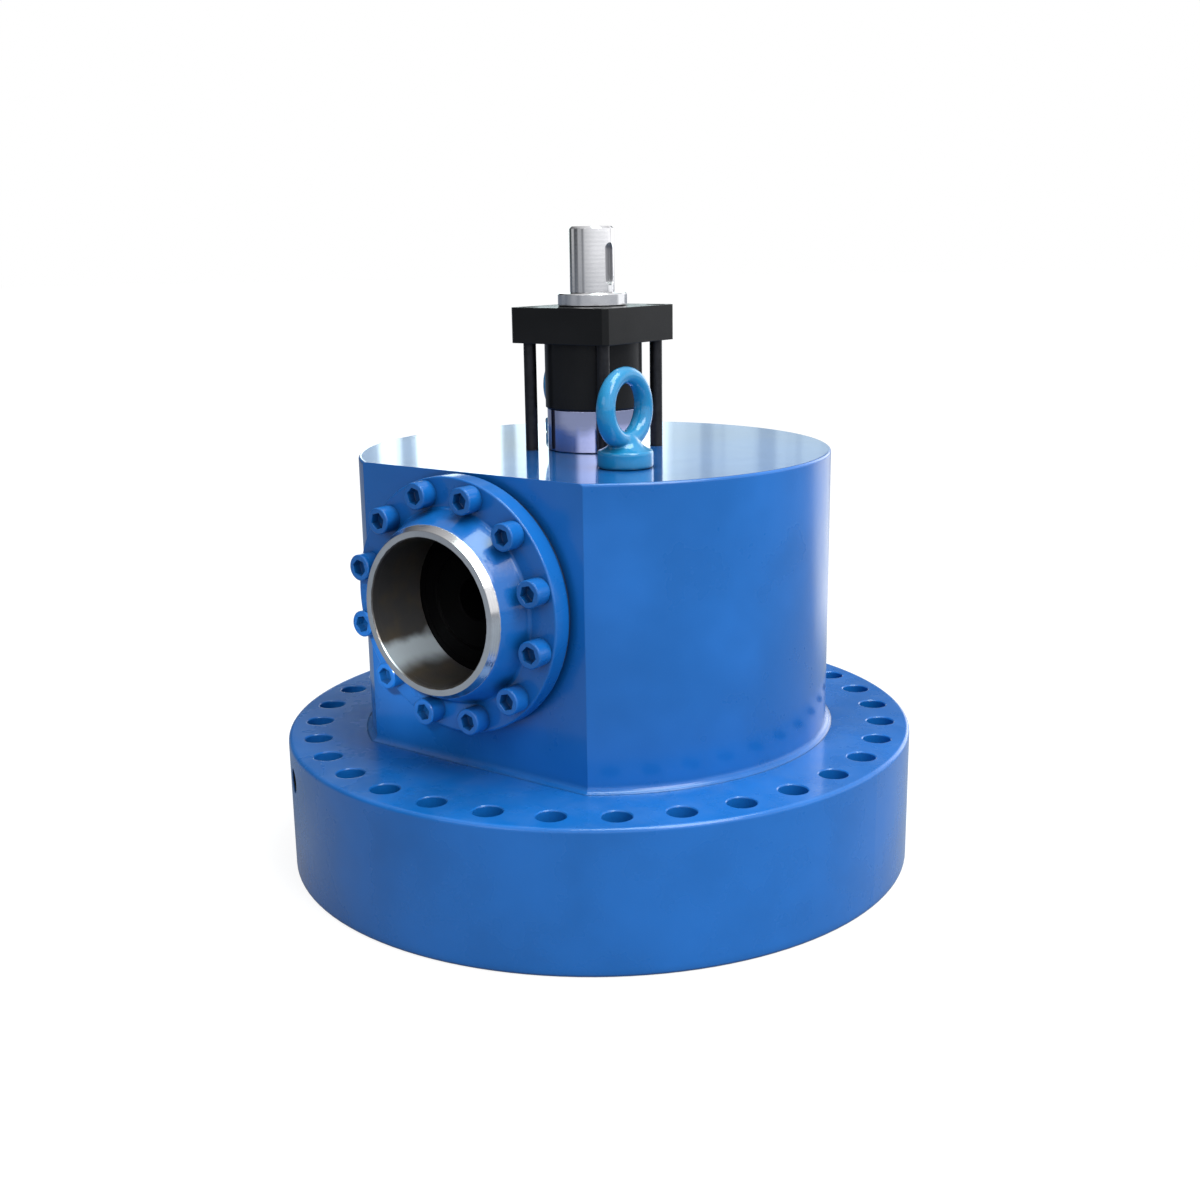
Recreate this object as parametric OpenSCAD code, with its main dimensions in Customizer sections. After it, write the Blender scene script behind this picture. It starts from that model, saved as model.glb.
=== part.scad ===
// Right angle bevel gearbox: heavy round housing on a drilled base flange,
// horizontal hollow input behind a weld-neck port flange, vertical output
// shaft rising through a tie-bolted tower. Units mm. The origin is the centre
// of the base underside, +Z is up and the port opens along -Y.

/* [Base flange] */
// outer diameter of the base flange
base_d = 616; // [560:1:700]
// thickness of the base flange
base_h = 132; // [80:1:160]
// pitch circle of the base bolts
base_pcd = 560; // [500:1:640]
// number of base bolt holes
base_n = 32; // [12:1:40]
// diameter of a base bolt hole
base_hole_d = 26; // [14:0.5:33]

/* [Body] */
// diameter of the round body
body_d = 453; // [420:1:480]
// height of the body above the base flange
body_h = 269; // [240:1:300]
// distance of the port flat from the vertical axis
flat_y = 188; // [180:1:200]
// radius of the gear chamber
cavity_r = 198; // [180:1:204]

/* [Port] */
// height of the port axis above the base flange
port_up = 154; // [150:0.5:160]
// diameter of the port flange
port_d = 229; // [226:0.5:229.5]
// pitch circle of the port screws
port_pcd = 201.5; // [201.5:0.5:203]
// number of port screws
port_n = 12; // [6:1:16]
// diameter of the polished pilot bore
port_bore_d = 132; // [120:1:140]
// reach of the neck beyond the port flat
neck_len = 57; // [40:1:80]

/* [Tower] */
// width across the square tower head
head_w = 113; // [108:1:120]
// thickness of the tower head
head_t = 33; // [28:1:40]
// height of the bright base ring
ring_h = 40; // [30:1:60]
// length of the black barrel
barrel_h = 62; // [40:1:90]
// spacing of the tie bolts
tie_pitch = 86; // [80:1:92]

/* [Output shaft] */
// diameter of the output shaft end
out_d = 42; // [36:1:43]
// exposed length of the shaft end
out_len = 61; // [50:1:90]

/* [Bevel gears] */
// module of the bevel pair
gear_m = 7; // [6:0.5:7]
// teeth of the crown gear
gear_n = 27; // [24:1:27]
// teeth of the pinion
pin_n = 18; // [16:1:18]
// face width of the teeth
gear_b = 34; // [28:1:36]
// backlash at the pitch circle
backlash = 0.4; // [0.1:0.05:0.6]

/* [Lifting eyes] */
// distance of the lifting eyes from the axis
eye_r = 136; // [130:1:160]
// direction of the front lifting eye in degrees
eye_a = -42; // [-60:1:-30]

/* [Hidden] */
$fn = 96;
e = 0.05;
top_z = base_h + body_h;
zc = base_h + port_up;
ring_z = top_z;
barrel_z = ring_z + ring_h;
head_z = barrel_z + barrel_h;
pilot_z = head_z + head_t;
pilot_h = 12;
tip_z = pilot_z + pilot_h + out_len;
hole_a0 = -90 + 180 / base_n;
rc = body_d / 2;
rb = base_d / 2;
// radius of the shaft under its seal, ending flush with the pilot ring
seal_r = out_d / 2 + 1;
// front face of the port flange above the flat
face_z = 24;
// bevel pair
dg = atan(gear_n / pin_n);
dp = 90 - dg;
rg = gear_m * gear_n / 2;
rp = gear_m * pin_n / 2;
cone = sqrt(rg * rg + rp * rp);
gear_back = zc - rp - 23;
// bearings: bore, outside diameter, width, first face, balls
low_b = [60, 110, 22, 36, 10];
mid_b = [60, 95, 18, 356, 12];
top_b = [45, 75, 16, head_z + 2, 11];
in_b = [90, 140, 24, 17, 14];
in_gap = 19;
plug_a = hole_a0 + 180 / base_n - 360 / base_n * 4;
blue = [0.13, 0.38, 0.72];
steel = [0.78, 0.78, 0.8];
dark = [0.12, 0.12, 0.13];

// ---- helpers ----
// local frame of the port: +Z points out of the port, +Y points up
module port_frame() translate([0, -flat_y, zc]) rotate([90, 0, 0]) children();

// radial frame on a cylinder: +Z points outwards at angle a
module radial(a, r, z) rotate([0, 0, a]) translate([r, 0, z])
    rotate([0, 90, 0]) children();

module tube(ro, ri, h) difference() {
    cylinder(r = ro, h = h);
    translate([0, 0, -1]) cylinder(r = ri, h = h + 2);
}

// cylinder with chamfered ends
module cham(r, h, c) rotate_extrude()
    polygon([[0, 0], [r - c, 0], [r, c], [r, h - c], [r - c, h], [0, h]]);

// socket head screw: seat at z = 0, head above, shank below
module cap_screw(d, len) {
    difference() {
        union() {
            rotate_extrude() polygon([[0, 0], [0.75 * d, 0],
                [0.75 * d, d - 0.06 * d], [0.69 * d, d], [0, d]]);
            translate([0, 0, -len]) cylinder(r = d / 2, h = len + 1);
        }
        translate([0, 0, d * 0.45]) cylinder(r = 0.49 * d, h = d, $fn = 6);
    }
}

module ring_of(n, pcd, a0) for (i = [0:n - 1])
    rotate([0, 0, a0 + i * 360 / n]) translate([pcd / 2, 0, 0]) children();

// ---- bearings ----
function b_h(b) = (b[1] - b[0]) / 2;
function b_pr(b) = (b[0] + b[1]) / 4;

module race_outer(b) difference() {
    translate([0, 0, b[3]]) rotate_extrude() polygon([
        [b[1] / 2 - 0.33 * b_h(b), 0], [b[1] / 2 - 1, 0], [b[1] / 2, 1],
        [b[1] / 2, b[2] - 1], [b[1] / 2 - 1, b[2]],
        [b[1] / 2 - 0.33 * b_h(b), b[2]]]);
    translate([0, 0, b[3] + b[2] / 2]) rotate_extrude()
        translate([b_pr(b), 0]) circle(r = 0.3 * b_h(b) + 0.15);
}

module race_inner(b) difference() {
    translate([0, 0, b[3]]) rotate_extrude() polygon([
        [b[0] / 2 + 1, 0], [b[0] / 2 + 0.33 * b_h(b), 0],
        [b[0] / 2 + 0.33 * b_h(b), b[2]], [b[0] / 2 + 1, b[2]],
        [b[0] / 2 + 0.02, b[2] - 1], [b[0] / 2 + 0.02, 1]]);
    translate([0, 0, b[3] + b[2] / 2]) rotate_extrude()
        translate([b_pr(b), 0]) circle(r = 0.3 * b_h(b) + 0.15);
}

module cage(b) translate([0, 0, b[3] + b[2] / 2]) {
    w = 0.34 * b[2];
    union() {
        translate([0, 0, -w / 2])
            tube(b_pr(b) + 0.09 * b_h(b), b_pr(b) - 0.09 * b_h(b), w);
        for (i = [0:b[4] - 1]) rotate([0, 0, (i + 0.5) * 360 / b[4]])
            translate([b_pr(b), 0, 0]) sphere(r = 0.3 * b_h(b), $fn = 48);
    }
}

// bearings of the input lie along the port axis, b[3] counted inwards
module in_place(b, k) port_frame() mirror([0, 0, 1])
    translate([0, 0, k * (b[2] + in_gap)]) children();

// ---- bevel gears ----
function inv(a) = tan(a) * 180 / PI - a;
// half tooth angle on the developed back cone at radius q
function half(q, rv) = let (bs = rv * cos(20), nv = 2 * rv / gear_m)
    90 / nv - backlash / 4 / rv * 180 / PI + inv(20)
    - inv(acos(min(1, bs / max(q, bs))));
function q_at(i, rv) = let (f = rv - 1.2 * gear_m, a = rv + gear_m,
    s = max(f + 0.2, rv * cos(20)))
    i == 0 ? f : s + (a - s) * (i - 1) / 4;
// one tooth as [radius, angle] pairs on the developed back cone
function tooth(rv) = concat(
    [for (i = [0:5]) [q_at(i, rv), -half(q_at(i, rv), rv)]],
    [for (i = [5:-1:0]) [q_at(i, rv), half(q_at(i, rv), rv)]]);
// loop of back cone points, axis distance measured down from the apex
function rim_loop(n, d) = let (rv = gear_m * n / 2 / cos(d), t = tooth(rv))
    [for (k = [0:n - 1]) for (p = t) let (a = k * 360 / n + p[1] / cos(d),
        r = p[0] * cos(d)) [r * cos(a), r * sin(a), -cone / cos(d) + p[0] * sin(d)]];
function flat_loop(l, r, z) = [for (p = l) let (a = atan2(p[1], p[0]))
    [r * cos(a), r * sin(a), z]];

// toothed ring with apex at the origin, bore radius rbore, back plane zb
module bevel(n, d, rbore, rback, zb, zf) {
    lo = rim_loop(n, d);
    li = [for (p = lo) p * (cone - gear_b) / cone];
    m = len(lo);
    pts = concat(flat_loop(lo, rbore, zb), flat_loop(lo, rback, zb), lo, li,
        flat_loop(lo, rbore, zf));
    // strips between successive loops, then the bore strip
    tri = [for (s = [0, 1, 3]) for (i = [0:m - 1]) let (j = (i + 1) % m)
        each [[s * m + i, (s + 1) * m + i, (s + 1) * m + j],
            [s * m + i, (s + 1) * m + j, s * m + j]]];
    quad = [for (i = [0:m - 1]) let (j = (i + 1) % m)
        [2 * m + i, 3 * m + i, 3 * m + j, 2 * m + j]];
    bore = [for (i = [0:m - 1]) let (j = (i + 1) % m)
        each [[4 * m + i, i, j], [4 * m + i, j, 4 * m + j]]];
    polyhedron(points = pts, faces = concat(tri, quad, bore), convexity = 10);
}

// ---- housing: base flange and body, welded along the foot of the body ----
// points of a corner rounding of radius r about [x, z], from angle a to b
function arc(x, z, r, a, b, n = 6) = [for (i = [0:n])
    let (t = a + (b - a) * i / n) [x + r * cos(t), z + r * sin(t)]];

module chamber() intersection() {
    translate([0, 0, 60]) cylinder(r = cavity_r, h = top_z - 90);
    translate([-300, -150, 0]) cube([600, 600, 600]);
}

module base_flange() color(blue) difference() {
    rotate_extrude() polygon(concat([[0, 0]], arc(rb - 3, 3, 3, -90, 0),
        arc(rb - 4, base_h - 4, 4, 0, 90), [[0, base_h]]));
    chamber();
    // bottom opening and cover recess
    translate([0, 0, -1]) cylinder(r = 160, h = 80);
    translate([0, 0, -1]) cylinder(r = 190, h = 31);
    ring_of(12, 350, 15) translate([0, 0, 29]) cylinder(r = 6.05, h = 25);
    // base bolt holes, the upper edge broken
    ring_of(base_n, base_pcd, hole_a0) rotate_extrude()
        polygon([[0, -1], [base_hole_d / 2, -1], [base_hole_d / 2, base_h - 1],
            [base_hole_d / 2 + 2, base_h + 1], [0, base_h + 1]]);
    // radial oil channels through the flange
    radial(plug_a, 190, 102) cylinder(r = 5, h = 130);
    radial(plug_a, rb - 20, 102) cylinder(r = 8.05, h = 24);
    radial(plug_a, rb - 4, 102) cylinder(r = 12, h = 10);
    radial(90, 190, 72) cylinder(r = 6, h = 130);
    radial(90, rb - 22, 72) cylinder(r = 10.05, h = 24);
    radial(90, rb - 4, 72) cylinder(r = 15, h = 10);
}

module body_solid() intersection() {
    rotate_extrude() polygon(concat([[0, base_h]],
        arc(rc + 6, base_h + 6, 6, -90, -180),
        arc(rc - 2.5, top_z - 2.5, 2.5, 0, 90), [[0, top_z]]));
    union() {
        translate([-400, -flat_y, 0]) cube([800, 800, 600]);
        // fillet along the foot of the flat
        translate([-300, -flat_y, base_h]) rotate([90, 0, 90]) linear_extrude(600)
            polygon(concat([[1, -1], [-6, -1]], arc(-6, 6, 6, -90, 0), [[1, 6]]));
    }
}

module body() color(blue) difference() {
    union() {
        difference() {
            body_solid();
            chamber();
        }
        // boss of the input cartridge
        port_frame() translate([0, 0, -84]) cylinder(r = 106, h = 60);
        // boss of the middle bearing
        translate([0, 0, 346]) cylinder(r = 64, h = 30);
    }
    // cartridge bore and port screw holes
    port_frame() translate([0, 0, -90]) cylinder(r = 90, h = 100);
    port_frame() ring_of(port_n, port_pcd, 15)
        translate([0, 0, -32]) cylinder(r = 8.05, h = 40);
    // middle bearing seat, clip groove, tower spigot
    translate([0, 0, 340]) cylinder(r = mid_b[1] / 2 + 0.02, h = 34);
    translate([0, 0, 352.5]) cylinder(r = 50, h = 3.5);
    translate([0, 0, 360]) cylinder(r = 35, h = 60);
    // tie bolt threads
    for (x = [-1, 1]) for (y = [-1, 1])
        translate([x * tie_pitch / 2, y * tie_pitch / 2, top_z - 25])
            cylinder(r = 6.05, h = 30);
    // lifting eye threads
    for (a = [eye_a, eye_a + 180]) rotate([0, 0, a])
        translate([eye_r, 0, top_z - 26]) cylinder(r = 10.05, h = 30);
    // breather and sight glass seats at the back
    radial(112.5, 180, top_z - 48) cylinder(r = 10.05, h = 60);
    radial(112.5, rc - 3, top_z - 48) cylinder(r = 17, h = 20);
    radial(90, 180, 205) cylinder(r = 15.05, h = 60);
    radial(90, rc - 3, 205) cylinder(r = 24, h = 20);
}

module bottom_cover() color(blue) difference() {
    union() {
        translate([0, 0, 5]) cham(189.5, 24, 1.5);
        translate([0, 0, 20]) cylinder(r = 76, h = 40);
    }
    translate([0, 0, 36]) cylinder(r = 55.02, h = 40);
    translate([0, 0, 31]) cylinder(r = 42, h = 10);
    ring_of(12, 350, 15) union() {
        translate([0, 0, 0]) cylinder(r = 10, h = 18);
        cylinder(r = 6.6, h = 40);
    }
}

module bottom_gasket() color(dark) translate([0, 0, 29]) difference() {
    tube(188, 161, 1);
    ring_of(12, 350, 15) translate([0, 0, -1]) cylinder(r = 7, h = 4);
}

module bottom_screws() color(steel) ring_of(12, 350, 15)
    translate([0, 0, 18]) mirror([0, 0, 1]) cap_screw(12, 34);

// ---- port ----
module port_flange() color(blue) difference() {
    port_frame() rotate_extrude() polygon(concat([[port_bore_d / 2, -5],
        [89.9, -5], [89.9, 1], [port_d / 2 - 3.5, 1], [port_d / 2 - 3.5, face_z - 18],
        [port_d / 2 - 0.6, face_z - 18], [port_d / 2, face_z - 17.4]],
        arc(port_d / 2 - 1.6, face_z - 1.6, 1.6, 0, 90, 4),
        // root fillet, painted cone, bevel, land
        [[88.5, face_z], [87.2, face_z + 0.5], [86.1, face_z + 1.8], [85.3, face_z + 4],
        [port_bore_d / 2 + 11.5, neck_len - 9], [port_bore_d / 2 + 6.5, neck_len],
        [port_bore_d / 2 + 1, neck_len], [port_bore_d / 2, neck_len - 1]]));
    port_frame() ring_of(port_n, port_pcd, 15)
        translate([0, 0, -4]) cylinder(r = 8.75, h = 40);
}

module port_gasket() color(dark) port_frame() difference() {
    tube(port_d / 2 - 3.7, 90.2, 1);
    ring_of(port_n, port_pcd, 15) translate([0, 0, -1]) cylinder(r = 9, h = 4);
}

module port_screws() color(blue) port_frame() ring_of(port_n, port_pcd, 15)
    translate([0, 0, face_z]) cap_screw(16, 50);

module seal_carrier() color(dark) port_frame() translate([0, 0, -17])
    difference() {
        cylinder(r = 89.9, h = 12);
        translate([0, 0, 2]) cylinder(r = 60.02, h = 12);
        translate([0, 0, -1]) cylinder(r = 56, h = 14);
    }

module input_seal() color(dark) port_frame() translate([0, 0, -15])
    rotate_extrude() polygon([[60, 0], [60, 9.5], [47, 9.5], [45.1, 7],
        [45.1, 6], [50, 4], [50, 2], [57, 2], [57, 0]]);

module bearing_cartridge() color(steel) port_frame()
    translate([0, 0, -84]) difference() {
        rotate_extrude() polygon([[64, 0], [88, 0], [89.95, 2], [89.95, 65],
            [88, 67], [64, 67]]);
        translate([0, 0, -1]) cylinder(r = 70.02, h = 25);
        translate([0, 0, 43]) cylinder(r = 70.02, h = 30);
    }

// ---- tower ----
module tower_ring() color(steel) difference() {
    union() {
        translate([0, 0, ring_z]) cham(45, ring_h, 0.8);
        translate([0, 0, ring_z - 8]) cylinder(r = 34.95, h = 20);
    }
    translate([0, 0, ring_z - 10]) cylinder(r = 27, h = ring_h + 20);
    translate([0, 0, barrel_z - 6]) cylinder(r = 38, h = 10);
}

module tower_barrel() color(dark) difference() {
    union() {
        translate([0, 0, barrel_z]) cham(46.5, barrel_h, 0.8);
        translate([0, 0, barrel_z - 5]) cylinder(r = 37.95, h = 10);
        translate([0, 0, head_z - 2]) cylinder(r = 41.9, h = 6);
    }
    translate([0, 0, barrel_z - 10]) cylinder(r = 30, h = 120);
    translate([0, 0, head_z - 30]) cylinder(r = 37.52, h = 60);
}

module tower_head() color(dark) difference() {
    translate([-head_w / 2, -head_w / 2, head_z]) intersection() {
        cube([head_w, head_w, head_t]);
        translate([head_w / 2, head_w / 2, 0]) rotate([0, 0, 45])
            translate([-head_w, -head_w, 0] * 0.68)
                cube([head_w * 1.36, head_w * 1.36, head_t]);
    }
    translate([0, 0, head_z - 1]) cylinder(r = 42, h = 5.5);
    translate([0, 0, head_z - 1]) cylinder(r = 37.52, h = 20);
    translate([0, 0, head_z + 10]) cylinder(r = 26, h = 40);
    translate([0, 0, head_z + 22]) cylinder(r = 31.02, h = 20);
    for (x = [-1, 1]) for (y = [-1, 1])
        translate([x * tie_pitch / 2, y * tie_pitch / 2, head_z - 1]) {
            cylinder(r = 6.4, h = 50);
            translate([0, 0, head_t - 12]) cylinder(r = 9.5, h = 20);
        }
}

module tie_bolts() color(dark) for (x = [-1, 1]) for (y = [-1, 1])
    translate([x * tie_pitch / 2, y * tie_pitch / 2, pilot_z - 13])
        cap_screw(12, pilot_z - 13 - top_z + 22);

module pilot_ring() color(steel) difference() {
    union() {
        translate([0, 0, pilot_z]) cham(32.75, pilot_h, 1);
        translate([0, 0, pilot_z - 2]) cylinder(r = 30.95, h = 4);
    }
    translate([0, 0, pilot_z - 10]) cylinder(r = seal_r + 1, h = 40);
}

module output_seal() color(dark) translate([0, 0, head_z + 23])
    rotate_extrude() polygon([[31, 0], [31, 7.5], [seal_r + 2, 7.5],
        [seal_r + 0.05, 5], [seal_r + 0.05, 4], [seal_r + 3, 2.5],
        [seal_r + 3, 1.5], [29, 1.5], [29, 0]]);

// ---- lifting eyes ----
module eye_bolt(a, turn) color(blue) rotate([0, 0, a])
    translate([eye_r, 0, top_z]) rotate([0, 0, turn - a])
        union() {
            cham(25, 16, 2);
            translate([0, 0, -24]) cylinder(r = 10, h = 26);
            translate([0, 0, 15]) cylinder(r1 = 21, r2 = 9, h = 13);
            translate([0, 0, 52]) rotate([0, 90, 0]) rotate_extrude()
                translate([28.5, 0]) circle(r = 7.7);
        }

// ---- oil fittings ----
module plug(r, len) difference() {
    union() {
        rotate_extrude() polygon([[0, 0], [r * 1.4, 0], [r * 1.4, 2.4],
            [r * 1.3, 3], [0, 3]]);
        translate([0, 0, -len]) cylinder(r = r, h = len + 1);
    }
    translate([0, 0, -1]) cylinder(r = r * 0.6, h = 10, $fn = 6);
}

module rim_plug() color(dark) radial(plug_a, rb - 4, 102) plug(8, 14);
module drain_plug() color(dark) radial(90, rb - 4, 72) plug(10, 16);

module breather() color(steel) radial(112.5, rc - 3, top_z - 48) {
    difference() {
        union() {
            translate([0, 0, -20]) cylinder(r = 10, h = 22);
            cylinder(r = 15, h = 8, $fn = 6);
            translate([0, 0, 7]) cham(11, 16, 2);
        }
        translate([0, 0, 11]) tube(20, 9, 3);
    }
}

module sight_glass() color(steel) radial(90, rc - 3, 205) difference() {
    union() {
        cylinder(r = 21, h = 7, $fn = 6);
        translate([0, 0, -18]) cylinder(r = 15, h = 20);
    }
    translate([0, 0, 4]) cylinder(r = 11, h = 10);
}

module bearing_clip() color(dark) translate([0, 0, 353]) difference() {
    tube(49.5, 42, 2.5);
    translate([30, -5, -1]) cube([30, 10, 5]);
}

// ---- output line ----
module output_shaft() color(steel) difference() {
    rotate_extrude() polygon([[0, 34], [28, 34], [30, 36], [30, 58], [36, 58],
        [36, 150], [33, 150], [33, 222], [32, 222], [32, 240], [31, 240],
        [31, 355], [30, 356], [30, 374], [26, 376], [26, head_z + 2],
        [22.5, head_z + 2], [22.5, head_z + 18.5], [seal_r, head_z + 19],
        [seal_r, pilot_z + pilot_h], [out_d / 2, pilot_z + pilot_h],
        [out_d / 2, tip_z - 2], [out_d / 2 - 2, tip_z], [0, tip_z]]);
    // closed keyway of the shaft end
    translate([out_d / 2 - 5, -6, pilot_z + pilot_h + 13])
        cube([10, 12, out_len - 34]);
    for (z = [pilot_z + pilot_h + 13, tip_z - 21]) translate([out_d / 2 - 5, 0, z])
        rotate([0, 90, 0]) cylinder(r = 6, h = 10);
    // centre hole and crown gear key seat
    translate([0, 0, tip_z - 12]) cylinder(r = 5, h = 20);
    translate([26, -9, 160]) cube([10, 18, 52]);
}

module crown_gear() color(steel) difference() {
    translate([0, 0, zc]) rotate([0, 0, -90])
        bevel(gear_n, dg, 48, rg - 8, -rp - 23, -rp + 14);
    translate([0, 0, gear_back - 5]) cylinder(r = 50, h = 60);
    ring_of(8, 136, 22.5) translate([0, 0, gear_back - 5])
        cylinder(r = 5.05, h = 19);
}

module crown_hub() color(steel) difference() {
    union() {
        translate([0, 0, 150]) cylinder(r = 46, h = 72);
        translate([0, 0, gear_back - 16]) cylinder(r = 82, h = 16);
        translate([0, 0, gear_back - 1]) cylinder(r = 49.98, h = 13);
    }
    translate([0, 0, 140]) cylinder(r = 33.02, h = 100);
    translate([20, -9.02, 140]) cube([17.5, 18.04, 100]);
    ring_of(8, 136, 22.5) translate([0, 0, gear_back - 20])
        cylinder(r = 5.5, h = 40);
}

module crown_screws() color(dark) ring_of(8, 136, 22.5)
    translate([0, 0, gear_back - 16]) mirror([0, 0, 1]) cap_screw(10, 28);

module crown_key() color(steel) translate([26, -8.98, 160.02])
    cube([11.4, 17.96, 51.96]);

module crown_nut() color(dark) translate([0, 0, 222]) difference() {
    cham(46, 12, 1);
    translate([0, 0, -1]) cylinder(r = 32.02, h = 20);
    for (i = [0:3]) rotate([0, 0, i * 90 + 45]) translate([41, -5, -1])
        cube([10, 10, 20]);
}

// ---- input line ----
module input_hub() color(dark) difference() {
    port_frame() mirror([0, 0, 1]) rotate_extrude() polygon([[19, 7], [20, 6],
        [44, 6], [45, 7], [45, 41], [50, 41], [50, 60], [45, 60], [45, 84],
        [30, 84], [30, 120], [28, 120], [28, 134], [19, 134]]);
    // inner keyway for the driving shaft, outer key seat for the pinion
    port_frame() translate([-5, 10, -100]) cube([10, 12.3, 110]);
    port_frame() translate([-7, 24.5, -117]) cube([14, 10, 28]);
}

module bevel_pinion() color(steel) difference() {
    union() {
        translate([0, 0, zc]) rotate([-90, 0, 0]) rotate([0, 0, 100])
            bevel(pin_n, dp, 29, rp - 9, -rg - 6, -rg + gear_b - 2.9);
        port_frame() translate([0, 0, -89]) cylinder(r = 50, h = 4.5);
    }
    port_frame() translate([0, 0, -140]) cylinder(r = 30.02, h = 100);
    port_frame() translate([-7.02, 20, -140]) cube([14.04, 13.5, 100]);
}

module pinion_key() color(steel) port_frame()
    translate([-6.98, 24.5, -116.98]) cube([13.96, 8.9, 27.96]);

module pinion_nut() color(dark) port_frame() translate([0, 0, -133.65])
    difference() {
        cham(37, 9, 1);
        translate([0, 0, -1]) cylinder(r = 28.02, h = 20);
        for (i = [0:3]) rotate([0, 0, i * 90]) translate([33, -4, -1])
            cube([10, 8, 20]);
    }

// ---- assembly ----
base_flange();
body();
bottom_cover();
bottom_gasket();
bottom_screws();
port_flange();
port_gasket();
port_screws();
seal_carrier();
input_seal();
bearing_cartridge();
tower_ring();
tower_barrel();
tower_head();
tie_bolts();
pilot_ring();
output_seal();
eye_bolt(eye_a, 0);  // eye_bolt_front
eye_bolt(eye_a + 180, 0);  // eye_bolt_rear
rim_plug();
drain_plug();
breather();
sight_glass();
bearing_clip();
color(steel) race_outer(low_b);  // low_race_outer
color(steel) race_outer(mid_b);  // mid_race_outer
color(steel) race_outer(top_b);  // top_race_outer
color(steel) in_place(in_b, 0) race_outer(in_b);  // in_race_outer_a
color(steel) in_place(in_b, 1) race_outer(in_b);  // in_race_outer_b
output_shaft();
crown_gear();
crown_hub();
crown_screws();
crown_key();
crown_nut();
color(steel) race_inner(low_b);  // low_race_inner
color(steel) race_inner(mid_b);  // mid_race_inner
color(steel) race_inner(top_b);  // top_race_inner
input_hub();
bevel_pinion();
pinion_key();
pinion_nut();
color(steel) in_place(in_b, 0) race_inner(in_b);  // in_race_inner_a
color(steel) in_place(in_b, 1) race_inner(in_b);  // in_race_inner_b
color(dark) cage(low_b);  // low_cage
color(dark) cage(mid_b);  // mid_cage
color(dark) cage(top_b);  // top_cage
color(dark) in_place(in_b, 0) cage(in_b);  // in_cage_a
color(dark) in_place(in_b, 1) cage(in_b);  // in_cage_b
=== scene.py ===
"""Looks of the right angle bevel gearbox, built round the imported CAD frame.

Every CAD node keeps its mesh and its place and gets a procedural material. The two lifting eyes
are the only added pieces: each is a smooth forging that replaces its plain CAD node. The rest is
the floor, the room, the lights and the camera. Lengths are in metres, azimuths in radians.
"""

import math

import bmesh
import bpy
from mathutils import Matrix, Vector


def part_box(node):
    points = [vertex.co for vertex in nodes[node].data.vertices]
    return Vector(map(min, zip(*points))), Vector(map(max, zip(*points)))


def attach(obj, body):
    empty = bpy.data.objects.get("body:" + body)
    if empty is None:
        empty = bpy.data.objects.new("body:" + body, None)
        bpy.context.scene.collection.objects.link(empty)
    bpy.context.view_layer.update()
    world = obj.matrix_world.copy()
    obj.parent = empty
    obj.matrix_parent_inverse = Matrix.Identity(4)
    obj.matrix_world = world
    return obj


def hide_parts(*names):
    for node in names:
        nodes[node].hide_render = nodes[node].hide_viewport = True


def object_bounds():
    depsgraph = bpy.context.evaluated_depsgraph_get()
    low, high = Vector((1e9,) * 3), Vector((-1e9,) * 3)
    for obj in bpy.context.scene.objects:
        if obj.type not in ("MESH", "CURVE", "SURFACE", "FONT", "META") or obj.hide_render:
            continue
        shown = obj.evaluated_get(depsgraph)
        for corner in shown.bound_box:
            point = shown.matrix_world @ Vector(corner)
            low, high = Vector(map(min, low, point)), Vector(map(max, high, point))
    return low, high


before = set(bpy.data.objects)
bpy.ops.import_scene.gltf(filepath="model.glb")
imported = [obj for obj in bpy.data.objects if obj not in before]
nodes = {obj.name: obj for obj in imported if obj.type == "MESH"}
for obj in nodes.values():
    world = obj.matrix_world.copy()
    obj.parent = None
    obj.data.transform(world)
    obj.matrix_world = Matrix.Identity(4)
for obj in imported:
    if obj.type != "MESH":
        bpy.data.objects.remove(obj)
cad_box = [list(corner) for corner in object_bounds()]


def middle(node):
    """Centre of a node's box."""
    low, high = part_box(node)
    return [(a + b) / 2 for a, b in zip(low, high)]


PORT_Z = middle("input_hub")[2]
TOP_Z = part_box("body")[1][2]
NECK_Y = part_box("port_flange")[0][1]
SHAFT_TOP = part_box("output_shaft")[1][2]
FLOOR_Z = cad_box[0][2] - 0.0005

# Radii of the port's bore at its chamfered mouth and of the shaft end.
MOUTH_R = 0.067
SHAFT_R = 0.021
# How far the bare bevel reaches back from the end of the neck.
BARE_NECK = 0.007


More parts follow.
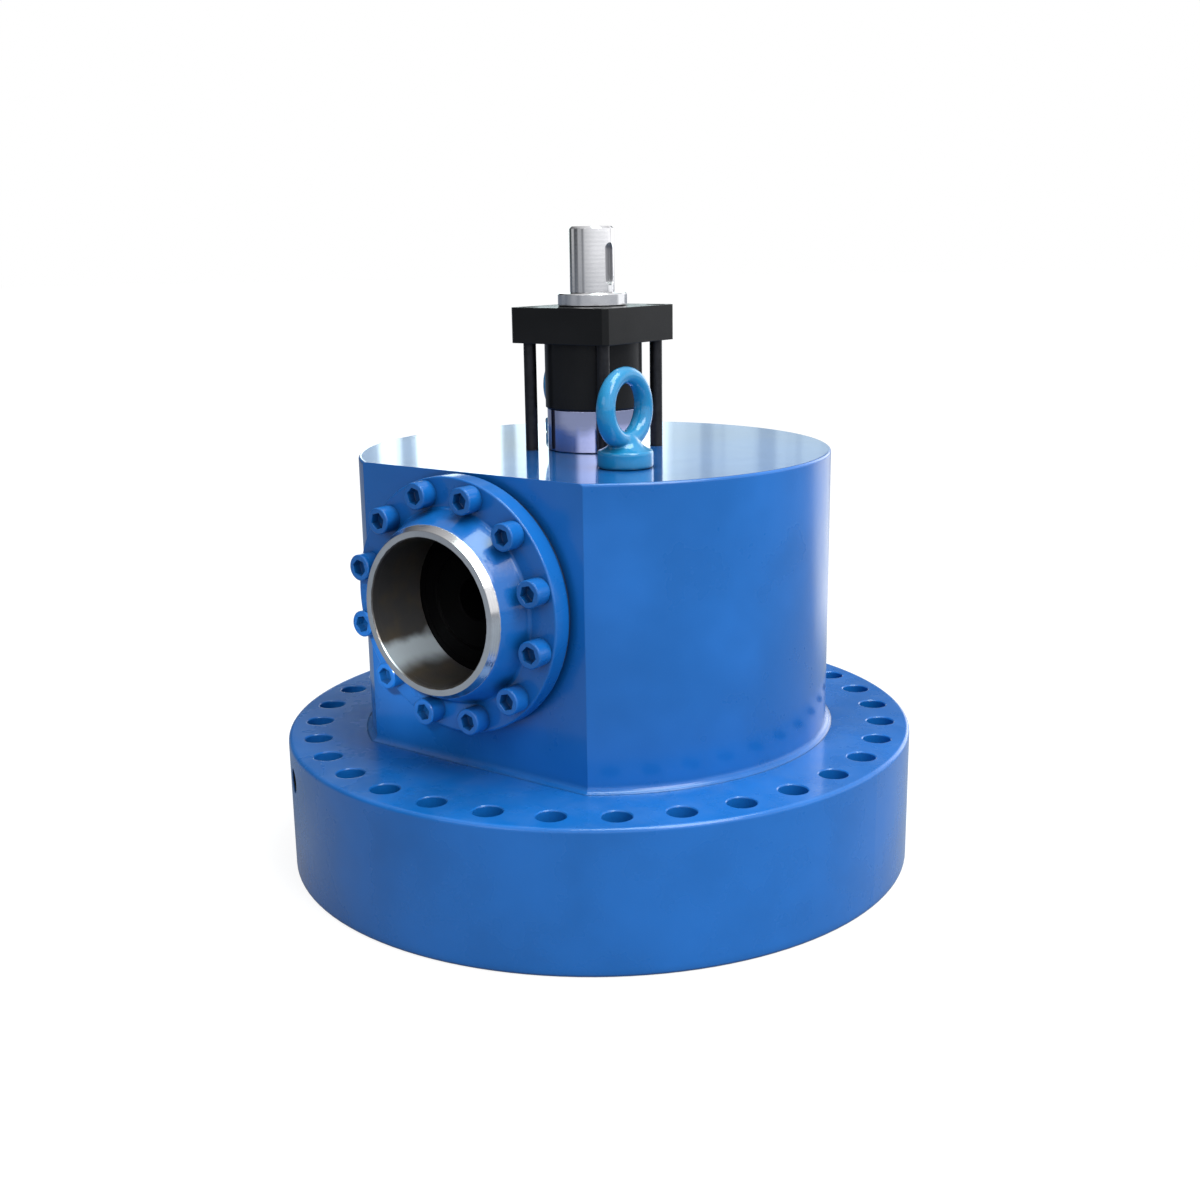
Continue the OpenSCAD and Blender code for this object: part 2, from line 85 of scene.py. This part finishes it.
# ------------------------------------------------------------------- node trees
class Tree:
    """A short way to write a node tree."""

    def __init__(self, tree):
        self.tree = tree
        self.tree.nodes.clear()
        self._coord = None

    def add(self, kind, **values):
        node = self.tree.nodes.new(kind)
        for key, value in values.items():
            setattr(node, key, value)
        return node

    def link(self, source, target):
        """Feed an input from a number, a colour or another node's output."""
        if isinstance(source, (int, float)):
            target.default_value = source
        elif isinstance(source, (tuple, list)):
            target.default_value = tuple(source) + (1.0,) * (4 - len(source))
        else:
            self.tree.links.new(source, target)

    def split(self, vector):
        node = self.add("ShaderNodeSeparateXYZ")
        self.link(vector, node.inputs[0])
        return node.outputs

    def coord(self):
        if self._coord is None:
            self._coord = self.add("ShaderNodeTexCoord").outputs["Object"]
        return self._coord

    def xyz(self):
        return self.split(self.coord())

    def camera_ray(self):
        return self.add("ShaderNodeLightPath").outputs["Is Camera Ray"]

    def math(self, op, a, b=0.0):
        node = self.add("ShaderNodeMath", operation=op)
        self.link(a, node.inputs[0])
        self.link(b, node.inputs[1])
        return node.outputs[0]

    def plus(self, first, *others):
        for other in others:
            first = self.math("ADD", first, other)
        return first

    def times(self, first, *others):
        for other in others:
            first = self.math("MULTIPLY", first, other)
        return first

    def ramp(self, value, low, high, to_low=0.0, to_high=1.0):
        """Smooth step from to_low at low to to_high at high."""
        node = self.add("ShaderNodeMapRange", interpolation_type="SMOOTHSTEP")
        for i, v in enumerate((value, low, high, to_low, to_high)):
            self.link(v, node.inputs[i])
        return node.outputs[0]

    def between(self, value, rise, fall):
        """1 between two smooth steps, 0 outside them."""
        return self.times(self.ramp(value, *rise), self.ramp(value, *fall, 1.0, 0.0))

    def noise(self, scale, detail=2.0, rough=0.5):
        node = self.add("ShaderNodeTexNoise")
        self.link(self.coord(), node.inputs["Vector"])
        node.inputs["Scale"].default_value = scale
        node.inputs["Detail"].default_value = detail
        node.inputs["Roughness"].default_value = rough
        return node.outputs["Fac"]

    def wander(self, scale, detail, reach):
        """Noise about zero, to make an edge ragged."""
        return self.times(self.math("SUBTRACT", self.noise(scale, detail), 0.5), reach)

    def mix(self, fac, a, b):
        """Blend two colours."""
        node = self.add("ShaderNodeMix", data_type="RGBA")
        self.link(fac, node.inputs[0])
        self.link(a, node.inputs[6])
        self.link(b, node.inputs[7])
        return node.outputs[2]

    def mix_value(self, fac, a, b):
        node = self.add("ShaderNodeMix", data_type="FLOAT")
        self.link(fac, node.inputs[0])
        self.link(a, node.inputs[2])
        self.link(b, node.inputs[3])
        return node.outputs[0]

    def mix_vector(self, fac, a, b):
        node = self.add("ShaderNodeMix", data_type="VECTOR")
        self.link(fac, node.inputs[0])
        self.link(a, node.inputs[4])
        self.link(b, node.inputs[5])
        return node.outputs[1]


class Surface(Tree):
    """A material's node tree with one Principled shader."""

    def __init__(self, name):
        self.mat = bpy.data.materials.new(name)
        self.mat.use_nodes = True
        super().__init__(self.mat.node_tree)
        out = self.add("ShaderNodeOutputMaterial")
        self.bsdf = self.add("ShaderNodeBsdfPrincipled")
        self.link(self.bsdf.outputs[0], out.inputs[0])

    def set(self, **values):
        for key, value in values.items():
            self.link(value, self.bsdf.inputs[key.replace("_", " ")])

    def bump(self, height, distance, normal=None, strength=1.0):
        node = self.add("ShaderNodeBump")
        node.inputs["Strength"].default_value = strength
        node.inputs["Distance"].default_value = distance
        self.link(height, node.inputs["Height"])
        if normal is not None:
            self.link(normal, node.inputs["Normal"])
        return node.outputs[0]

    def rounded(self, radius):
        """Normal that softens the edges."""
        node = self.add("ShaderNodeBevel", samples=6)
        node.inputs["Radius"].default_value = radius
        return node.outputs[0]

    def crevice(self, distance):
        """Near 0 in corners and pockets, 1 in the open."""
        node = self.add("ShaderNodeAmbientOcclusion", samples=6)
        node.inputs["Distance"].default_value = distance
        return node.outputs["AO"]


def radius_about(t, axis, centre=(0.0, 0.0)):
    """Distance from a line along z or y, from object coordinates."""
    x, y, z = t.xyz()
    a, b = {"z": (x, y), "y": (x, z)}[axis]
    da = t.math("SUBTRACT", a, centre[0])
    db = t.math("SUBTRACT", b, centre[1])
    return t.math("SQRT", t.plus(t.times(da, da), t.times(db, db)))


# ----------------------------------------------------------------------- layers
def grooves(t, value, pitch):
    """Turning marks along a value in metres, fine ones over coarse ones."""
    phase = t.plus(t.times(value, math.tau / pitch), t.times(t.noise(60.0), math.tau * 0.35))
    coarse = t.math("SINE", t.times(phase, 0.173))
    return t.plus(t.math("SINE", phase), t.times(coarse, 0.6))


def paint_layers(t, colour, rough):
    """Sprayed enamel: cloudy colour, orange peel, dust on upper faces, painted shade in corners.
    """
    dark = [c * 0.86 for c in colour]
    light = [min(1.0, c * 1.1 + 0.004) for c in colour]
    base = t.mix(t.ramp(t.noise(7.0, 3.0, 0.55), 0.3, 0.7), dark, light)
    speck = t.ramp(t.noise(900.0, 1.0), 0.68, 0.8, 0.0, 0.25)
    base = t.mix(speck, base, [min(1.0, c * 1.5 + 0.02) for c in colour])
    # painted shade: the enamel darkens in corners and pockets
    corner = t.ramp(t.crevice(0.012), 0.35, 0.9)
    base = t.mix(corner, [c * 0.45 for c in colour], base)
    up = t.split(t.add("ShaderNodeNewGeometry").outputs["Normal"])[2]
    dust = t.times(t.ramp(up, 0.55, 0.95), t.ramp(t.noise(35.0, 4.0, 0.6), 0.35, 0.75, 0.0, 0.05))
    base = t.mix(dust, base, (0.36, 0.4, 0.44))
    normal = t.bump(t.noise(38.0, 1.0), 0.0006, t.rounded(0.0011), 0.22)
    normal = t.bump(t.noise(420.0), 0.00012, normal, 0.35)
    smear = t.ramp(t.noise(14.0, 4.0, 0.6), 0.3, 0.8, -0.04, 0.07)
    return base, t.plus(smear, rough), normal


def steel_layers(t, value, tone, rough, pitch=0.0009, depth=0.00002, stained=1.0,
                 tint=(1.0, 1.0, 1.0)):
    """Turned steel whose marks follow a value in metres, with painted shade in its pockets."""
    stain = t.noise(24.0, 4.0, 0.6)
    low, high = 1.0 - 0.14 * stained, 1.0 + 0.12 * stained
    base = t.mix(t.ramp(stain, 0.25, 0.8), [tone * low * c for c in tint],
                 [min(1.0, tone * high * c) for c in tint])
    marks = grooves(t, value, pitch)
    base = t.mix(t.ramp(marks, -1.6, 1.6, 0.0, 0.14 * stained), base, (0.3, 0.3, 0.31))
    # painted shade: the steel darkens in its corners and pockets
    base = t.mix(t.ramp(t.crevice(0.004), 0.25, 0.75), (0.05, 0.05, 0.055), base)
    roughness = t.plus(t.ramp(stain, 0.2, 0.8, -0.03 * stained, 0.07 * stained), rough)
    normal = t.bump(marks, depth, t.rounded(0.0006), 0.5)
    return base, roughness, normal


# -------------------------------------------------------------------- materials
BLUE = (0.004, 0.118, 0.42)
EYE_BLUE = (0.003, 0.185, 0.39)
BLACK = (0.004, 0.004, 0.004)


def paint(name, colour, rough, gloss, coat_rough=0.08, spec=0.2):
    t = Surface(name)
    base, roughness, normal = paint_layers(t, colour, rough)
    t.set(Base_Color=base, Roughness=roughness, Normal=normal, Coat_Weight=gloss,
          Coat_Roughness=coat_rough, Coat_Normal=normal, Specular_IOR_Level=spec)
    return t.mat


def steel(name, along=True, **layers):
    """Steel turned about the vertical, marked along it or outwards from it."""
    t = Surface(name)
    value = t.xyz()[2] if along else radius_about(t, "z")
    base, roughness, normal = steel_layers(t, value, **layers)
    t.set(Base_Color=base, Metallic=1.0, Roughness=roughness, Normal=normal)
    return t.mat


def plain_metal(name, colour, rough, metallic=1.0, spec=0.5):
    """Blackened, plated or ground metal with a fine grain and painted shade in its corners."""
    t = Surface(name)
    grain = t.noise(160.0, 4.0, 0.6)
    base = t.mix(t.ramp(grain, 0.3, 0.75), [c * 0.8 for c in colour],
                 [min(1.0, c * 1.18) for c in colour])
    # painted shade: the metal darkens in its corners and pockets
    base = t.mix(t.ramp(t.crevice(0.006), 0.3, 0.9), [c * 0.5 for c in colour], base)
    roughness = t.plus(t.ramp(grain, 0.2, 0.8, -0.06, 0.1), rough)
    normal = t.bump(t.noise(700.0), 0.00008, t.rounded(0.0004), 0.35)
    t.set(Base_Color=base, Metallic=metallic, Roughness=roughness, Normal=normal,
          Specular_IOR_Level=spec)
    return t.mat


def port_material():
    """Enamel outside; bare turned steel in the bore and on the weld bevel."""
    t = Surface("port_paint_and_steel")
    blue, rough_paint, normal_paint = paint_layers(t, BLUE, 0.3)
    x, y, z = t.xyz()
    radius = radius_about(t, "y", (0.0, PORT_Z))
    ragged = t.wander(180.0, 3.0, 0.0012)
    in_bore = t.ramp(t.plus(radius, ragged), MOUTH_R - 0.0001, MOUTH_R + 0.0002, 1.0, 0.0)
    line = NECK_Y + BARE_NECK
    on_tip = t.ramp(t.plus(y, ragged), line - 0.0004, line + 0.0006, 1.0, 0.0)
    bare = t.math("MAXIMUM", in_bore, on_tip)
    along = t.mix_value(on_tip, y, radius)
    bright, rough_steel, normal_steel = steel_layers(t, along, tone=0.6, rough=0.17,
                                                     pitch=0.0011, depth=0.00003)
    rough_steel = t.mix_value(in_bore, rough_steel, 0.42)
    # the bore is painted dark brown apart from a light strip low on the -x side
    turn = t.math("ARCTAN2", t.math("SUBTRACT", PORT_Z, z), t.times(x, -1.0))
    turn = t.plus(turn, t.wander(30.0, 3.0, 0.3))
    # painted highlight: a light band on the bore's wall where a reflection falls
    painted_highlight_strip = t.between(turn, (0.5, 0.66), (0.8, 1.15))
    brown = t.mix(t.ramp(t.noise(22.0, 3.0, 0.6), 0.35, 0.7), (0.05, 0.049, 0.05),
                  (0.075, 0.062, 0.045))
    bright = t.mix(in_bore, bright, t.mix(painted_highlight_strip, brown, (0.4, 0.46, 0.5)))
    normal = t.mix_vector(bare, normal_paint, normal_steel)
    t.set(Base_Color=t.mix(bare, blue, bright),
          Metallic=t.math("SUBTRACT", bare, t.times(in_bore, 0.35)),
          Roughness=t.mix_value(bare, rough_paint, rough_steel), Normal=normal,
          Coat_Weight=t.mix_value(bare, 0.55, 0.0), Coat_Roughness=0.08,
          Coat_Normal=normal, Specular_IOR_Level=0.2)
    return t.mat


def shaft_material():
    """Ground steel with a keyway that is rougher and painted darker as shade in the slot."""
    t = Surface("shaft_steel")
    z = t.xyz()[2]
    base, roughness, normal = steel_layers(t, z, tone=0.8, rough=0.09, pitch=0.0007,
                                           depth=0.000006, stained=0.5)
    inside = t.ramp(radius_about(t, "z"), SHAFT_R - 0.0009, SHAFT_R - 0.0004, 1.0, 0.0)
    # painted shade darkens the keyway's colour; its higher roughness is the milled finish
    keyway = t.times(inside, t.ramp(z, SHAFT_TOP - 0.004, SHAFT_TOP - 0.002, 1.0, 0.0))
    t.set(Base_Color=t.mix(keyway, base, (0.42, 0.42, 0.43)), Metallic=1.0,
          Roughness=t.mix_value(keyway, roughness, 0.45), Normal=normal)
    return t.mat


def body_material():
    """Enamel whose machined top face is much smoother than the walls."""
    t = Surface("body_enamel")
    base, roughness, normal = paint_layers(t, BLUE, 0.3)
    top = t.ramp(t.xyz()[2], TOP_Z - 0.0006, TOP_Z - 0.0001)
    t.set(Base_Color=base, Roughness=t.mix_value(top, roughness, 0.16), Normal=normal,
          Coat_Weight=t.mix_value(top, 0.6, 0.8), Coat_IOR=t.mix_value(top, 1.5, 1.55),
          Coat_Roughness=t.mix_value(top, 0.14, 0.05), Coat_Normal=t.rounded(0.0011),
          Specular_IOR_Level=t.mix_value(top, 0.2, 0.5))
    return t.mat


def rubber(name):
    t = Surface(name)
    grain = t.noise(300.0, 3.0)
    t.set(Base_Color=t.mix(grain, (0.012, 0.012, 0.013), (0.03, 0.03, 0.032)),
          Roughness=t.ramp(grain, 0.2, 0.8, 0.5, 0.7), Normal=t.bump(grain, 0.0001, None, 0.4))
    return t.mat


MATERIALS = {
    "body": body_material(),
    "enamel": paint("base_enamel", BLUE, 0.28, 0.6),
    "port": port_material(),
    "screw": paint("screw_enamel", BLUE, 0.3, 0.5),
    "eye": paint("eye_enamel", EYE_BLUE, 0.24, 0.8, 0.05),
    "black": paint("black_enamel", BLACK, 0.36, 0.16, 0.16, 0.12),
    "black_steel": plain_metal("blackened_steel", (0.018, 0.018, 0.02), 0.36, 0.7),
    "dark": plain_metal("oxide_black", (0.0006, 0.0006, 0.0007), 0.6, 0.0, 0.02),
    "ring": steel("ring_steel", tone=0.75, rough=0.09, depth=0.000004, stained=0.35,
                  tint=(0.8, 0.84, 1.2)),
    "pilot": steel("pilot_steel", along=False, tone=0.82, rough=0.12, stained=0.5),
    "shaft": shaft_material(),
    "gear": plain_metal("gear_steel", (0.5, 0.5, 0.52), 0.28),
    "race": plain_metal("race_steel", (0.72, 0.72, 0.74), 0.1),
    "zinc": plain_metal("zinc_plate", (0.62, 0.62, 0.63), 0.3),
    "brass": plain_metal("cage_brass", (0.62, 0.45, 0.2), 0.3),
    "rubber": rubber("seal_rubber"),
}

# Each node's material. Cages are brass, races are ground steel and the rest is gear steel.
LOOK = {
    "body": "body", "base_flange": "enamel", "bottom_cover": "enamel",
    "bottom_gasket": "rubber", "bottom_screws": "zinc", "port_flange": "port",
    "port_gasket": "rubber", "port_screws": "screw", "seal_carrier": "dark",
    "input_seal": "dark", "tower_ring": "ring", "tower_barrel": "black",
    "tower_head": "black", "tie_bolts": "black_steel", "pilot_ring": "pilot",
    "output_seal": "rubber", "eye_bolt_front": "eye", "eye_bolt_rear": "eye",
    "rim_plug": "dark", "drain_plug": "black_steel", "breather": "zinc",
    "sight_glass": "zinc", "bearing_clip": "black_steel", "output_shaft": "shaft",
    "crown_screws": "black_steel", "crown_nut": "black_steel", "input_hub": "dark",
    "pinion_nut": "black_steel",
}
for name, obj in nodes.items():
    look = LOOK.get(name)
    if look is None:
        look = "brass" if "cage" in name else "race" if "race" in name else "gear"
    obj.data.materials.clear()
    obj.data.materials.append(MATERIALS[look])


# ----------------------------------------------------------------- forged eyes
# Height of the ring's centre above the body, and the ring's mean radius.
RING_UP = 0.052
RING_R = 0.0285

# Collar and flared neck, as radius and height above the body, and the shank below it.
COLLAR = [(0.0, 0.0), (0.0236, 0.0), (0.0248, 0.0014), (0.0248, 0.0136), (0.0238, 0.0152),
          (0.021, 0.016), (0.0165, 0.0186), (0.0128, 0.0222), (0.0105, 0.0262),
          (0.008, 0.029), (0.0, 0.0295)]
SHANK = [(0.0, -0.024), (0.009, -0.024), (0.0099, -0.023), (0.0099, 0.003), (0.0, 0.003)]


def lathe(bm, profile, foot, segments):
    """Closed solid of revolution about a vertical line through foot."""
    x, y, z = foot
    rings = []
    for radius, height in profile:
        turns = [math.tau * i / segments for i in range(segments)] if radius else [0.0]
        rings.append([bm.verts.new((x + radius * math.cos(a), y + radius * math.sin(a),
                                    z + height)) for a in turns])
    for lower, upper in zip(rings, rings[1:]):
        for i in range(segments):
            j = (i + 1) % segments
            if len(lower) == 1:
                bm.faces.new((lower[0], upper[j], upper[i]))
            elif len(upper) == 1:
                bm.faces.new((lower[i], lower[j], upper[0]))
            else:
                bm.faces.new((lower[i], lower[j], upper[j], upper[i]))


def eye_ring(bm, centre, segments=96, around=32):
    """Forged ring in the YZ plane, a little stouter towards its foot."""
    x, y, z = centre
    rings = []
    for i in range(segments):
        a = math.tau * i / segments
        foot = 0.5 - 0.5 * math.sin(a)
        thick = 0.0074 + 0.0012 * foot
        wide = 0.0077 + 0.0022 * foot
        ring = []
        for k in range(around):
            b = math.tau * k / around
            reach = RING_R + thick * math.cos(b)
            ring.append(bm.verts.new((x + wide * math.sin(b), y + reach * math.cos(a),
                                      z + reach * math.sin(a))))
        rings.append(ring)
    for i in range(segments):
        one, two = rings[i], rings[(i + 1) % segments]
        for k in range(around):
            m = (k + 1) % around
            bm.faces.new((one[k], two[k], two[m], one[m]))


def forged_eye(node):
    """Eye bolt as one forging: ring, flared neck, collar and shank melted together."""
    x, y, _ = middle(node)
    bm = bmesh.new()
    eye_ring(bm, (x, y, TOP_Z + RING_UP))
    lathe(bm, COLLAR, (x, y, TOP_Z), 64)
    lathe(bm, SHANK, (x, y, TOP_Z), 48)
    bmesh.ops.recalc_face_normals(bm, faces=bm.faces)
    mesh = bpy.data.meshes.new(node + "_forged")
    bm.to_mesh(mesh)
    bm.free()
    mesh.materials.append(MATERIALS["eye"])
    piece = bpy.data.objects.new(node + "_forged", mesh)
    bpy.context.collection.objects.link(piece)
    melt = piece.modifiers.new("melt", "REMESH")
    melt.mode = "VOXEL"
    melt.voxel_size = 0.0008
    melt.use_smooth_shade = True
    soften = piece.modifiers.new("soften", "SMOOTH")
    soften.factor = 0.5
    soften.iterations = 10
    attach(piece, "frame")
    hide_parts(node)


forged_eye("eye_bolt_front")
forged_eye("eye_bolt_rear")


# ----------------------------------------------------------------------- floor
def floor_material():
    """Pale floor, near white when seen, darker as a bounce so the paint keeps its depth."""
    t = Surface("pale_floor")
    seen = t.camera_ray()
    x, y, _ = t.xyz()
    azimuth = t.math("ARCTAN2", y, x)
    reach = radius_about(t, "z")
    # the floor glows in stretches behind on the right and only dimly on the left; this glow lights
    # the object and shows in its reflections
    near = t.times(t.between(azimuth, (1.1, 1.35), (1.65, 1.9)),
                   t.between(reach, (0.7, 1.2), (4.0, 6.0)))
    far = t.times(t.between(azimuth, (0.6, 0.85), (1.3, 1.5)), t.ramp(reach, 6.0, 9.0))
    dull = t.ramp(t.math("ABSOLUTE", azimuth), 2.3, 2.8, 1.0, 0.15)
    glow = t.plus(t.times(dull, 0.16), t.times(t.math("MAXIMUM", near, far), 0.9))
    t.set(Base_Color=t.mix(seen, (0.18, 0.21, 0.26), (0.2, 0.2, 0.2)), Roughness=0.8,
          Specular_IOR_Level=0.0, Emission_Color=(1.0, 1.0, 1.0),
          Emission_Strength=t.mix_value(seen, glow, 0.86))
    return t.mat


floor_mesh = bpy.data.meshes.new("floor")
bm = bmesh.new()
bmesh.ops.create_circle(bm, cap_ends=True, radius=30.0, segments=96)
bm.to_mesh(floor_mesh)
bm.free()
floor_mesh.materials.append(floor_material())
floor = bpy.data.objects.new("floor", floor_mesh)
bpy.context.collection.objects.link(floor)
floor.location = (0, 0, FLOOR_Z)


# ------------------------------------------------------------------------ room
def toward(t, direction, aim, rise, levels):
    """Smooth glow about a direction; rise is in cosines."""
    dot = t.add("ShaderNodeVectorMath", operation="DOT_PRODUCT")
    t.link(direction, dot.inputs[0])
    dot.inputs[1].default_value = Vector(aim).normalized()
    return t.ramp(dot.outputs["Value"], *rise, *levels)


def front_room(t, direction, azimuth, z):
    """Dim room with the soft panels that the bright steel mirrors."""
    glow = t.plus(toward(t, direction, (0.75, 0.1, 0.6), (-0.2, 0.9), (0.0, 0.6)),
                  toward(t, direction, (0.0, 0.0, 1.0), (0.25, 0.9), (0.05, 0.5)))
    side = t.between(azimuth, (-1.85, -1.5), (1.1, 1.35))
    edge = t.between(azimuth, (1.2, 1.4), (1.7, 1.9))
    panels = t.times(t.ramp(z, 0.3, 0.6, 1.0, 0.0), t.plus(t.times(side, 0.8), t.times(edge, 2.0)))
    wave = t.math("COSINE", t.times(t.plus(azimuth, 2.5), 7.0))
    strips = t.times(t.ramp(wave, -0.6, 0.5, 0.5, 0.0), t.ramp(azimuth, -1.8, -1.65, 1.0, 0.0),
                     t.ramp(z, 0.04, 0.08, 1.0, 0.0))
    return t.plus(glow, panels, strips, 0.03)


def back_band(t, direction, azimuth, low):
    """Bright low band that the smooth top face mirrors, broken by upright gaps."""
    streak = t.add("ShaderNodeTexNoise", noise_dimensions="1D")
    t.link(azimuth, streak.inputs["W"])
    streak.inputs["Scale"].default_value = 40.0
    panel = t.times(t.ramp(azimuth, 2.145, 2.172, 0.3, 1.0),
                    t.ramp(azimuth, 2.42, 2.5, 1.0, 0.0),
                    t.ramp(streak.outputs["Fac"], 0.38, 0.55, 0.6, 1.0))
    for place, half, keep in ((2.364, 0.011, 0.2), (2.336, 0.007, 0.25), (2.268, 0.006, 0.3)):
        away = t.math("ABSOLUTE", t.math("SUBTRACT", azimuth, place))
        panel = t.times(panel, t.ramp(away, half * 0.5, half, keep, 1.0))
    back = toward(t, direction, (-0.6, 0.8, 0.0), (0.55, 0.9), (0.0, 2.6))
    return t.times(panel, low, back)


def studio_world():
    """White where the camera sees it; a dim room with a bright back band for other rays."""
    world = bpy.data.worlds.new("studio")
    bpy.context.scene.world = world
    world.use_nodes = True
    t = Tree(world.node_tree)
    direction = t.add("ShaderNodeTexCoord").outputs["Generated"]
    x, y, z = t.split(direction)
    azimuth = t.math("ARCTAN2", y, x)
    low = t.between(z, (-0.05, 0.02), (0.15, 0.22))
    strength = t.plus(front_room(t, direction, azimuth, z),
                      back_band(t, direction, azimuth, low))
    cool = t.times(low, t.ramp(azimuth, 1.8, 2.0))
    tint = t.mix(cool, (0.97, 0.97, 1.0), (0.84, 1.0, 1.02))
    seen = t.camera_ray()
    background = t.add("ShaderNodeBackground")
    t.link(t.mix(seen, tint, (1.0, 1.0, 1.0)), background.inputs[0])
    t.link(t.mix_value(seen, strength, 1.0), background.inputs[1])
    t.link(background.outputs[0], t.add("ShaderNodeOutputWorld").inputs[0])


studio_world()


# ---------------------------------------------------------------------- lights
def place_light(data, place, aim):
    obj = bpy.data.objects.new(data.name, data)
    bpy.context.collection.objects.link(obj)
    obj.location = place
    obj.rotation_euler = (Vector(aim) - Vector(place)).to_track_quat("-Z", "Y").to_euler()
    obj.visible_camera = False


def area_light(name, place, size, power, colour=(1, 1, 1)):
    """Soft box aimed at the middle of the body."""
    data = bpy.data.lights.new(name, "AREA")
    data.shape = "RECTANGLE"
    data.size, data.size_y = size
    data.energy = power
    data.color = colour
    place_light(data, place, (0, 0, 0.2))


def spot_light(name, place, aim, angle, power):
    data = bpy.data.lights.new(name, "SPOT")
    data.energy = power
    data.spot_size = math.radians(angle)
    data.spot_blend = 0.7
    data.shadow_soft_size = 0.04
    place_light(data, place, aim)


area_light("key", (2.4, -0.6, 2.7), (1.5, 1.5), 52)
area_light("top", (0.8, 0.1, 3.0), (1.6, 1.6), 62, (0.82, 1.0, 0.93))
area_light("fill", (-0.4, -3.2, 1.8), (2.0, 1.2), 11)
spot_light("bore", (0.72, -1.3, 0.8), (-0.05, -0.215, PORT_Z - 0.04), 5.5, 150)

# ---------------------------------------------------------------------- camera
# Stands at AZIMUTH from the port side, OUT from the axis and UP from the floor. It looks at
# the axis but for the small turns PAN, TILT and ROLL, in degrees.
AZIMUTH = math.radians(36.6)
OUT, UP = 1.4159, 0.5888
PAN, TILT, ROLL = -0.115, -13.50, 0.875
camera = bpy.data.objects.new("camera", bpy.data.cameras.new("camera"))
bpy.context.collection.objects.link(camera)
camera.data.lens = 43.94
camera.data.sensor_width = 36.0
camera.data.dof.use_dof = False
turn = (
    Matrix.Rotation(AZIMUTH, 3, "Z")
    @ Matrix.Rotation(math.radians(PAN), 3, "Z")
    @ Matrix.Rotation(math.radians(TILT), 3, "X")
    @ Matrix.Rotation(math.radians(ROLL), 3, "Y")
    @ Matrix.Rotation(math.radians(90), 3, "X")
)
stand = Vector((math.sin(AZIMUTH) * OUT, -math.cos(AZIMUTH) * OUT, UP))
camera.matrix_world = Matrix.Translation(stand) @ turn.to_4x4()
bpy.context.scene.camera = camera
bpy.context.scene.view_settings.view_transform = "Standard"
